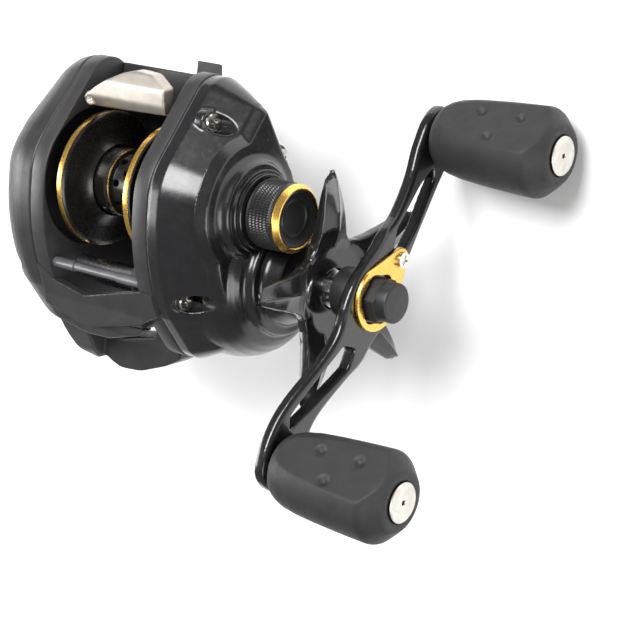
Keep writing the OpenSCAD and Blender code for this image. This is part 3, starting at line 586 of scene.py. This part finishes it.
def make_gear_plate():
    y0 = RING_OUT + PLATE_GAP
    rim = [(0.6, y0), (0.3, y0 + 0.1), (0.2, y0 + 0.35), (0.2, 22.8), (0.4, 23.3), (1.2, 25.2), (2.5, 28.0),
           (3.7, 30.3), (4.7, 32.2), (5.0, RIDGE_Y), (5.5, 33.5), (5.9, 34.4), (6.3, 35.2), (6.7, 35.7),
           (7.0, 36.0)]
    plate = build("gear_plate", sections(frame_outline, rim))
    case = [(CASE_R - 0.1, y0 + 0.4), (CASE_R - 0.1, 28.5), (CASE_R - 0.5, 30.5), (CASE_R - 1.3, 33),
            (CASE_R - 2.6, 35.3), (CASE_R - 4.4, 37.1), (CASE_R - 5.9, CASE_TOP), (15.2, CASE_TOP),
            (14.5, CASE_TOP + 0.3), (14.1, CASE_TOP + 1), (14, DISC_TOP - 0.5), (13.5, DISC_TOP),
            (12, DISC_TOP), (11.3, DISC_TOP + 0.4), (11, DISC_TOP + 1.2), (9.2, NECK_TOP - 0.3),
            (8.9, NECK_TOP)]
    boss = [(17.5, 33.5), (15.6, 35.9), (13.2, 36.2), (12.0, 36.8), (11.4, 37.6), (11.2, 38.0), (10.8, 38.3)]
    unite(plate, turned(DRIVE, case, 128), turned(SPOOL, boss, 128))
    inner = 2.1
    cut(plate, sections(frame_outline, [(inner, y0 - 1), (inner, 22.6)]),
        sections(frame_outline, [(5.8, 22), (5.8, 29.6)]),
        turned(DRIVE, [(CASE_R - 2.4, y0 - 2), (CASE_R - 2.4, 28.5), (17.3, 32.6), (14.6, 35.3)]),
        rod(WORM, 4.5, y0 - 1.5, 22.9), rod(WORM, 3, y0 - 1.7, 25), rod(SPOOL, 3.4, 29, 33.9),
        rod(SPOOL, 1.7, 30, 50), rod(DRIVE, 7.05, 35, 43), rod(DRIVE, 4.8, 42, 50))
    for spot, head in zip(from_spool(SCREW_SPOTS), SCREW_HEADS):
        unite(plate, ring(spot, SCREW_R, 2.2, y0, 23.5, 0, 48),
              ring(spot, SCREW_R, 3, 23.4, head - 0.02, 0, 48))
        cut(plate, rod(spot, 2.3, head, 60), rod(spot, SCREW_R, y0 - 1, 60))
    melt(plate, 0.26, 7)
    finish_piece(plate, "reel_frame", "cover_gloss", ["gear_side_plate"], sharp=0)
    collar = [(1.7, 37.9), (10.3, 37.9), (10.3, 38.3), (9.9, 38.4), (9.9, 39.2), (9.7, 39.35), (9.1, 39.35),
              (9.0, 39.5), (9.0, 40.1), (8.8, 40.25), (7.1, 40.25), (7, 40.4), (7, 44.0), (6.8, 44.2),
              (4.05, 44.2), (4.05, 41.2), (1.7, 41.2)]
    collars = build("tension_collars", turned(SPOOL, collar, 128, wrap=True))
    finish_piece(collars, "reel_frame", "cover_gloss")


REAR_DRAW = 4.2          # how far the outer rear edge of the palm cover moves forward
REAR_SINK = 1.2          # and down


def draw_in_rear(x, y, z):
    """Moves the rear of the palm cover forward, more so towards its outer face and its top."""
    outward = min(max((-RING_OUT - 1 - y) / 12, 0), 1)
    behind = min(max((SPOOL[0] - 13 - x) / 16, 0), 1)
    upper = min(max((z - SPOOL[1] + 9) / 8, 0), 1)
    share = outward * behind
    return x + REAR_DRAW * share * (0.4 + 0.6 * upper), y, z - REAR_SINK * share * upper


def make_palm_plate():
    y0 = -RING_OUT - PLATE_GAP
    edge = low("palm_side_plate", "y")
    rim = [(0.6, y0), (0.3, y0 - 0.1), (0.2, y0 - 0.35), (0.2, y0 - 3.6), (0.4, -24.6), (1.0, -26.6),
           (1.9, -28.6), (3.1, -30.4), (4.6, -31.8), (6.0, -32.6), (7.0, edge)]
    plate = build("palm_plate", sections(frame_outline, rim))
    insert = [(6.3, y0 + 0.5), (BORE_R - 0.1, y0 + 0.5), (BORE_R - 0.1, -RING_IN - 1.9),
              (BORE_R - 0.3, -RING_IN - 1.6), (16.7, -RING_IN - 1.6), (16.5, -RING_IN - 1.9),
              (16.5, -RING_OUT + 0.9), (15.2, -RING_OUT + 0.5), (6.3, -RING_OUT + 0.5)]
    cut(plate, rod(SPOOL, 9.05, edge - 1, edge + 1.8), rod(SPOOL, 3.1, edge - 1, -24),
        ring(SPOOL, 6.2, 15.2, -28, -15, 0), rod(SPOOL, 4.05, -20.3, -10), rod(SPOOL, 2.7, -21.5, -10))
    for x, z in PALM_SPOTS:
        spot = from_spool([(x, z)])[0]
        cut(plate, rod(spot, 2.05, -60, PALM_HEAD), rod(spot, SCREW_R, -60, -10))
    melt(plate, 0.3, 6)
    bend(plate, draw_in_rear)
    finish_piece(plate, "reel_frame", "cover_satin", ["palm_side_plate"], sharp=0)
    cup = build("palm_plate_cup", turned(SPOOL, insert, 144, wrap=True))
    finish_piece(cup, "reel_frame", "cover_satin")


# ---- thumb bar -----------------------------------------------------------


def make_thumb_bar():
    face_plan = [(-18.3, -12.6), (-20.3, -14), (-23, -10.4), (-25.4, -6.3), (-27.6, -1.5), (-28.8, 2.9),
                 (-28.4, 8.4), (-25.5, 13), (-19.3, 13)]
    face_side = [(-18.3, 2.4), (-18.5, 4.7), (-21, 5.9), (-25, 6.1), (-28.8, 4.9), (-28.8, 1.5), (-24, 2.8)]
    deck_plan = [(-22, -9), (-27.5, -7.4), (-30, -2.5), (-31, 4), (-29.6, 13.6), (-22, 13.6)]
    deck_side = [(-22, 4.6), (-26.5, 5.2), (-28.6, 3.6), (-31, 0.4), (-31, -3), (-28.8, -3), (-27.4, 1),
                 (-22, 3)]
    bar = plan_and_side("thumb_rest", face_plan, face_side, 0.7)
    graft(bar, plan_and_side("deck", deck_plan, deck_side, 0.5))
    spot = (SPOOL[0] - 20.3, -12.0)
    unite(bar, prism(arc(spot, 1.75, 0, 345, 23), SPOOL[1] + 2.8, SPOOL[1] + 5.4))
    melt(bar, 0.2, 5)
    cut(bar, prism(arc(spot, 0.95, 0, 345, 23), SPOOL[1] + 4.2, SPOOL[1] + 8))
    finish_piece(bar, "thumb_body", "thumb_silver", ["thumb_bar"], sharp=0)


# ---- spool ---------------------------------------------------------------
FLANGE_R = 16.5
FLANGE_Y = 12.2
HUB_R = 8.3
HUB_HOLES = [(-1.2, 10), (1.4, 32)]      # y of each row of holes, and its first hole's angle
HUB_HOLE_R = 0.95


def make_spool():
    f = FLANGE_Y
    wall = [(16.3, f), (FLANGE_R, f - 0.2), (FLANGE_R, f - 1.9), (16.2, f - 2.2), (15.4, f - 2.4),
            (12, f - 3.2), (9.8, f - 4.0), (8.9, f - 4.8)]
    hub = [(HUB_R, -8.0), (HUB_R, -4.3), (7.9, -3.8), (7.9, -3.3), (8.15, -3.1), (8.15, -2.7), (7.3, -2.4),
           (7.3, 2.4), (8.15, 2.7), (8.15, 3.1), (7.5, 3.4), (7.5, 4.2), (8.15, 4.5), (8.15, 4.9),
           (HUB_R, 5.4), (HUB_R, 8.0)]
    outer = [(r, -y) for r, y in wall] + hub + [(r, y) for r, y in reversed(wall)]
    inner = [(7.4, f), (6.6, f - 0.9), (6.2, f - 1), (6.2, 3), (1.15, 3)]
    profile = outer + inner + [(r, -y) for r, y in reversed(inner)]
    spool = build("spool_body", turned(SPOOL, profile, 144, wrap=True))
    holes = []
    for turn in range(0, 360, 45):
        for y, lead in HUB_HOLES:
            a = math.radians(turn + lead)
            reach = Vector((math.cos(a), 0, math.sin(a)))
            along = Vector((0, 1, 0))
            across = along.cross(reach)
            loops = []
            for distance in (5, 9):
                centre = Vector((SPOOL[0], y, SPOOL[1])) + reach * distance
                spin = [2 * math.pi * k / 20 for k in range(20)]
                loops.append([tuple(centre + (across * math.cos(s) + along * math.sin(s)) * HUB_HOLE_R)
                              for s in spin])
            holes.append(skin(loops))
    for hole in holes:
        cut(spool, hole)
    finish_piece(spool, "spool_body", "spool_black", ["spool"])
    bands = [(16.5, -f + 1.2, 0.75), (8.2, -3.0, 0.2), (8.2, 2.9, 0.2), (8.2, 4.7, 0.2),
             (16.5, f - 1.2, 0.75)]
    for i, (radius, y, half) in enumerate(bands):
        shell = ring(SPOOL, radius - 0.5, radius + 0.14, y - half, y + half, 0.1, 144)
        band = build(f"spool_band_{i}", shell)
        finish_piece(band, "spool_body", "gold_anodised")


# ---- tension cap ---------------------------------------------------------


def make_tension_cap():
    y0, y1 = 41.0, 48.3
    rows, columns, teeth = 44, 320, 40
    loops = [[(SPOOL[0] + 7.7 * math.cos(a), y0 - 0.1, SPOOL[1] + 7.7 * math.sin(a))
              for a in (2 * math.pi * k / columns for k in range(columns))]]
    for i in range(rows + 1):
        t = i / rows
        y = y0 + (y1 - y0) * t
        fade = min(1, 6 * t, 6 * (1 - t))
        loop = []
        for k in range(columns):
            a = 2 * math.pi * k / columns
            ridges = math.cos(teeth * a + 22 * t) * math.cos(teeth * a - 22 * t)
            radius = 8.15 - 0.2 * t + 0.2 * ridges * fade
            loop.append((SPOOL[0] + radius * math.cos(a), y, SPOOL[1] + radius * math.sin(a)))
        loops.append(loop)
    top = [(7.55, y1 + 0.12), (6.9, y1 + 0.2), (6.7, y1 + 1.5), (6.5, y1 + 1.6), (6.3, y1 + 1.5),
           (5.9, y1 + 0.8), (4.5, y1 + 0.45), (4.3, y1 + 0.62), (4.1, y1 + 0.45), (3.9, y1 + 0.3)]
    for radius, y in top:
        loops.append([(SPOOL[0] + radius * math.cos(a), y, SPOOL[1] + radius * math.sin(a))
                      for a in (2 * math.pi * k / columns for k in range(columns))])
    cap = build("tension_knob", skin(loops))
    finish_piece(cap, "tension_body", "cap_black", ["tension_cap"], sharp=50)
    rim = [(6.8, y1 + 0.25), (7.85, y1 + 0.2), (8.1, y1 + 0.4), (8.1, y1 + 0.75), (7.2, y1 + 1.75),
           (6.95, y1 + 1.8), (6.75, y1 + 1.6)]
    gold = build("tension_gold", turned(SPOOL, rim, 144, wrap=True))
    finish_piece(gold, "tension_body", "gold_anodised", ["tension_ring"], sharp=25)


# ---- star wheel ----------------------------------------------------------
STAR_TURN = 25.3
STAR_EDGE = [(0, 30.0), (2.0, 29.8), (3.3, 29.2), (4.3, 28.2), (6.5, 25), (11, 20), (16.8, 16), (25, 13.2),
             (36, 12)]
STAR_TOP = [(4.9, 53.5), (9.6, 54.0), (11, 54.9), (13, 55.9), (16, 56.9), (20, 57.5), (25, 57.6), (28, 57.4),
            (30, 57.0)]
STAR_UNDER = [(8.6, 47.8), (9.6, 48.4), (12, 51.2), (16, 52.4), (20, 53.4), (25, 54.4), (28, 55.2),
              (30, 56.0)]
STAR_DROP = 1.9


def read_off(table, x):
    """Value of a table of (x, y) at x, by straight lines."""
    if x <= table[0][0]:
        return table[0][1]
    for (xa, ya), (xb, yb) in zip(table, table[1:]):
        if x <= xb:
            return ya + (yb - ya) * (x - xa) / (xb - xa)
    return table[-1][1]


def make_star():
    per_arm = 48
    turns = []
    for k in range(5):
        for i in range(-per_arm // 2, per_arm // 2):
            u = 2 * i / per_arm
            turns.append((72 * k, 36 * math.copysign(abs(u) ** 1.7, u)))
    half_edge = sorted((r, r * math.sin(math.radians(a))) for a, r in STAR_EDGE)

    def top(r, off):
        across = abs(r * math.sin(math.radians(off)))
        share = min(across / max(read_off(half_edge, r), 0.05), 1)
        fade = min(max((r - 9.6) / 2.4, 0), 1)
        return read_off(STAR_TOP, r) - STAR_DROP * fade * (0.35 * share + 0.65 * share ** 0.6)

    loops = []
    for y in (47.6, 47.8):
        loops.append([(4.9 if y < 47.7 else 8.6, y)] * len(turns))
    steps = 12
    for i in range(steps + 1):
        share = i / steps
        loops.append([(r, read_off(STAR_UNDER, r)) for r in
                      (9 + (read_off(STAR_EDGE, abs(off)) * 0.985 - 9) * share for _, off in turns)])
    for shrink, rise in ((1.0, 0.35), (1.0, 0.7), (0.99, 0.9)):
        row = []
        for _, off in turns:
            r = read_off(STAR_EDGE, abs(off)) * shrink
            low_y, high_y = read_off(STAR_UNDER, r), top(r, off)
            row.append((r, low_y + (high_y - low_y) * rise))
        loops.append(row)
    steps = 20
    for i in range(steps + 1):
        share = 1 - i / steps
        loops.append([(r, top(r, off)) for r, off in
                      ((9 + (read_off(STAR_EDGE, abs(off)) * 0.975 - 9) * share, off) for _, off in turns)])
    loops.append([(4.9, 53.5)] * len(turns))
    shell = []
    for row in loops:
        ring_points = []
        for (turn, off), (r, y) in zip(turns, row):
            a = math.radians(STAR_TURN + turn + off)
            ring_points.append((DRIVE[0] + r * math.cos(a), y, DRIVE[1] + r * math.sin(a)))
        shell.append(ring_points)
    star = build("star_arms", skin(shell, wrap=True))
    melt(star, 0.17, 3)
    finish_piece(star, "star_drag", "handle_gloss", ["star_wheel"], sharp=0)


# ---- handle --------------------------------------------------------------
HANDLE_Y = 65.5
HANDLE_T = 3.0
HANDLE_STEP = 3.2
HALF_PLAN = [(-9, 7), (0, 8.6), (6, 8), (12, 5.8), (20, 6), (30, 7.5), (38, 7.9), (44, 7), (49, 4.5),
             (50.4, 0), (49, -4.3), (44, -6), (38, -5.2), (30, -3.6), (20, -4.8), (14, -6.6)]
WINDOW_PLAN = [(12.5, -1.5), (17, -3), (30, 0.6), (36.5, 3), (34, 5), (22, 3.9), (14, 2.4)]


def on_handle(t, y, n):
    """Row-frame place of a point given along and across the handle."""
    c, s = math.cos(HANDLE_TURN), math.sin(HANDLE_TURN)
    return DRIVE[0] + t * c - n * s, y, DRIVE[1] + t * s + n * c


def turned_half(path):
    return [(-t, -n) for t, n in path]


def handle_drop(t):
    """How far the handle has stepped in towards the reel, at t along it."""
    share = min(max((abs(t) - 12) / 26, 0), 1)
    return HANDLE_STEP * share * share * (3 - 2 * share)


def make_handle():
    plan = curve_through(HALF_PLAN + turned_half(HALF_PLAN), 5)
    profile = [(0.7, -HANDLE_T), (0.2, -HANDLE_T + 0.2), (0, -HANDLE_T + 0.7), (0, -0.9), (0.25, -0.45),
               (0.8, -0.12), (1.2, 0)]
    arm = build("crank_arm", skin([[(t, h, n) for t, n in drawn_in(plan, inset)] for inset, h in profile]))
    for path in (WINDOW_PLAN, turned_half(WINDOW_PLAN)):
        soft = soften(path, 1.0)
        cut(arm, skin([[(t, h, n) for t, n in drawn_in(soft, inset)]
                       for inset, h in ((0, -HANDLE_T - 1), (0, -0.5), (-0.5, 0.05), (-0.5, 1))]))
    bore = [(2.5 * math.cos(a), 2.5 * math.sin(a)) for a in (2 * math.pi * k / 32 for k in range(32))]
    cut(arm, skin([[(t, h, n) for t, n in bore] for h in (-HANDLE_T - 1, 1)]))
    melt(arm, 0.2, 4)
    bend(arm, lambda t, h, n: on_handle(t, HANDLE_Y + h - handle_drop(t), n))
    finish_piece(arm, "crank", "handle_gloss", ["handle_arm"], sharp=0)


SLEEVE_Y = (56.6, HANDLE_Y - HANDLE_T - 0.1)
NUT_SCREW_OUT = 11.4
NUT_SCREW_DIR = 187.0


def nut_polar(radius, angle):
    a = math.radians(angle)
    return radius * math.cos(a), radius * math.sin(a)


def make_nut():
    y0 = HANDLE_Y + 0.02
    big, tip = 7.7, 2.8
    lean = math.degrees(math.acos((big - tip) / NUT_SCREW_OUT))
    screw = nut_polar(NUT_SCREW_OUT, NUT_SCREW_DIR)
    outline = arc((0, 0), big, NUT_SCREW_DIR + lean, NUT_SCREW_DIR - lean + 360, 48)
    outline += arc(screw, tip, NUT_SCREW_DIR - lean, NUT_SCREW_DIR + lean, 16)
    plate = build("nut_keeper", skin([
        [on_handle(t, y0 + h, n) for t, n in drawn_in(outline, inset)]
        for inset, h in ((0.25, 0), (0, 0.15), (0, 0.7), (0.12, 0.9), (0.32, 0.98))]))
    hole = [nut_polar(6.0 + 0.35 * math.cos(math.radians(6 * a * 3)), 3 * a) for a in range(120)]
    cut(plate, skin([[on_handle(t, y0 + h, n) for t, n in hole] for h in (-1, 2)]))
    cut(plate, skin([[on_handle(screw[0] + t, y0 + h, screw[1] + n) for t, n in arc((0, 0), 1.1, 0, 345, 23)]
                     for h in (-1, 2)]))
    finish_piece(plate, "crank", "gold_anodised", ["nut_plate"])
    hexagon = soften([nut_polar(5.65, 60 * k) for k in range(6)], 0.45, steps=3)
    nut = build("crank_nut", skin([
        [on_handle(t, y0 + h, n) for t, n in drawn_in(hexagon, inset)]
        for inset, h in ((0.3, 0), (0, 0.2), (0, 3.0), (0.3, 3.45), (0.7, 3.6))]))
    finish_piece(nut, "crank", "nut_grey", ["handle_nut"])
    dome = [(2.45, HANDLE_Y + 3.4), (4.75, HANDLE_Y + 3.4), (4.75, HANDLE_Y + 5.8), (4.65, HANDLE_Y + 6.15),
            (4.4, HANDLE_Y + 6.35), (4.0, HANDLE_Y + 6.4)]
    cap = build("crank_nut_cap", turned(DRIVE, dome, 96))
    finish_piece(cap, "crank", "nut_grey")


# ---- knobs ---------------------------------------------------------------
KNOB_TURN = 12.0         # degrees from the handle to the broad way of a knob
KNOB_A, KNOB_B = 10.9, 10.4
KNOB_FLAT = 7.9          # from the axis of a knob to its flat faces
KNOB_END = high("knob_a_cap", "y")
DIMPLE_R = 2.0
DIMPLES = [(-2.4, -10.2), (-2.4, -21.0), (4.4, -15.8)]     # across the knob, and from its outer end


def make_knob(name):
    centre = KNOBS[name]
    start = HANDLE_Y - HANDLE_STEP + 0.95
    turn = HANDLE_TURN + math.radians(KNOB_TURN)

    def place(a, y, b):
        c, s = math.cos(turn), math.sin(turn)
        return centre[0] + a * c - b * s, y, centre[1] + a * s + b * c

    def oval(k):
        spin = [2 * math.pi * i / 120 for i in range(120)]
        return [(k * KNOB_A * math.cos(t), k * KNOB_B * math.sin(t)) for t in spin]

    profile = [(0.54, start), (0.62, start + 0.15), (0.70, start + 0.8), (0.77, start + 2.2),
               (0.83, start + 4.2), (0.89, start + 8), (0.93, start + 13), (0.965, start + 19),
               (0.99, start + 24.5), (1.0, start + 27.4), (0.99, start + 28.2), (0.95, start + 29.0),
               (0.66, KNOB_END - 0.9), (0.60, KNOB_END - 0.62)]
    grip = build(name + "_grip_shell", skin([[place(a, y, b) for a, b in oval(k)] for k, y in profile]))
    far = 20
    for side in (-1, 1):
        near, off = side * KNOB_FLAT, side * far
        block = [place(a, 0, b) for a, b in ((-far, near), (far, near), (far, off), (-far, off))]
        cut(grip, slab([(x, z) for x, _, z in block], start - 5, KNOB_END + 5))
    cut(grip, rod(centre, 4.75, KNOB_END - 1.9, KNOB_END + 1), rod(centre, 3.05, start - 1, start + 3))
    melt(grip, 0.28, 5)
    spots = [(Vector(place(a, KNOB_END + y, side * KNOB_FLAT)), side) for a, y in DIMPLES for side in (-1, 1)]
    for v in grip.data.vertices:
        p = v.co / MM
        for spot, side in spots:
            away = (p - spot)
            normal = Vector(place(0, 0, side)) - Vector(place(0, 0, 0))
            height = away.dot(normal)
            flat = (away - normal * height).length
            if flat < DIMPLE_R and abs(height) < 3:
                dip = 0.5 * (1 + math.cos(math.pi * flat / DIMPLE_R))
                v.co -= normal * (0.95 * dip * MM)
    finish_piece(grip, name, "knob_rubber", [name + "_grip"], sharp=0)
    disc = [(0.55, KNOB_END - 1.6), (4.0, KNOB_END - 1.6), (4.55, KNOB_END - 0.5), (4.6, KNOB_END - 0.25),
            (4.35, KNOB_END - 0.05), (4.0, KNOB_END), (0.75, KNOB_END), (0.55, KNOB_END - 0.15)]
    cap = build(name + "_end_disc", turned(centre, disc, 96, wrap=True))
    finish_piece(cap, name, "cap_steel", [name + "_cap"])


def make_collar():
    """Sleeve between the star wheel and the handle."""
    sleeve = build("crank_sleeve", ring(DRIVE, 3.7, 6.0, SLEEVE_Y[0], SLEEVE_Y[1], 0.2, 64))
    finish_piece(sleeve, "crank", "nut_grey")


make_frame()
make_gear_plate()
make_palm_plate()
make_thumb_bar()
make_spool()
make_tension_cap()
make_star()
make_handle()
make_collar()
make_nut()
for knob in KNOBS:
    make_knob(knob)

# ---- camera, light and floor ---------------------------------------------
CAMERA_AT = Vector((-113.0, 347.0, 385.8))
CAMERA_AIM = Vector((26.1, 40.2, 3.7))
CAMERA_UP = Vector((-0.9615, -0.1975, -0.1914))
LENS = 118.1
SENSOR = 36.0


def facing(at, aim, up):
    """Matrix of something at a place that looks at aim."""
    back = (at - aim).normalized()
    right = up.cross(back).normalized()
    turn = Matrix((right, back.cross(right), back)).transposed()
    return Matrix.Translation(at * MM) @ turn.to_4x4()


def make_camera():
    camera = bpy.data.objects.new("camera", bpy.data.cameras.new("camera"))
    bpy.context.scene.collection.objects.link(camera)
    camera.data.lens = LENS
    camera.data.sensor_width = SENSOR
    camera.data.clip_start = 0.01
    camera.data.clip_end = 20
    camera.matrix_world = facing(CAMERA_AT, CAMERA_AIM, CAMERA_UP)
    bpy.context.scene.camera = camera


def make_light(name, at, aim, width, height, watts, colour=(1, 1, 1)):
    lamp = bpy.data.lights.new(name, "AREA")
    lamp.shape = "RECTANGLE"
    lamp.size, lamp.size_y = width * MM, height * MM
    lamp.energy = watts
    lamp.color = colour
    obj = bpy.data.objects.new(name, lamp)
    bpy.context.scene.collection.objects.link(obj)
    obj.matrix_world = facing(Vector(at), Vector(aim), Vector((0.01, 0.02, 1)))


def make_floor():
    ground = cad_low.z / MM
    half = 3000
    floor = build("floor", skin([
        [(x, y, z) for x, y in rectangle(-half, half, -half, half)] for z in (ground - 20, ground)
    ]))
    finish = Finish("floor_pale", roughness=0.6)
    finish.colour(finish.noise(300), (0.90, 0.90, 0.90), (0.92, 0.92, 0.92))
    floor.data.materials.append(finish.material)


def make_world():
    world = bpy.data.worlds.new("studio")
    world.use_nodes = True
    world.node_tree.nodes["Background"].inputs["Color"].default_value = (1, 1, 1, 1)
    world.node_tree.nodes["Background"].inputs["Strength"].default_value = 0.3
    bpy.context.scene.world = world
    bpy.context.scene.view_settings.view_transform = "Standard"


make_camera()
make_world()
make_floor()
make_light("key", (-520, 60, 760), (0, 20, 20), 520, 520, 13.5)
make_light("side", (250, 800, 420), (0, 20, 20), 420, 600, 4)
make_light("palm", (0, -700, 420), (0, 0, 20), 300, 600, 5)
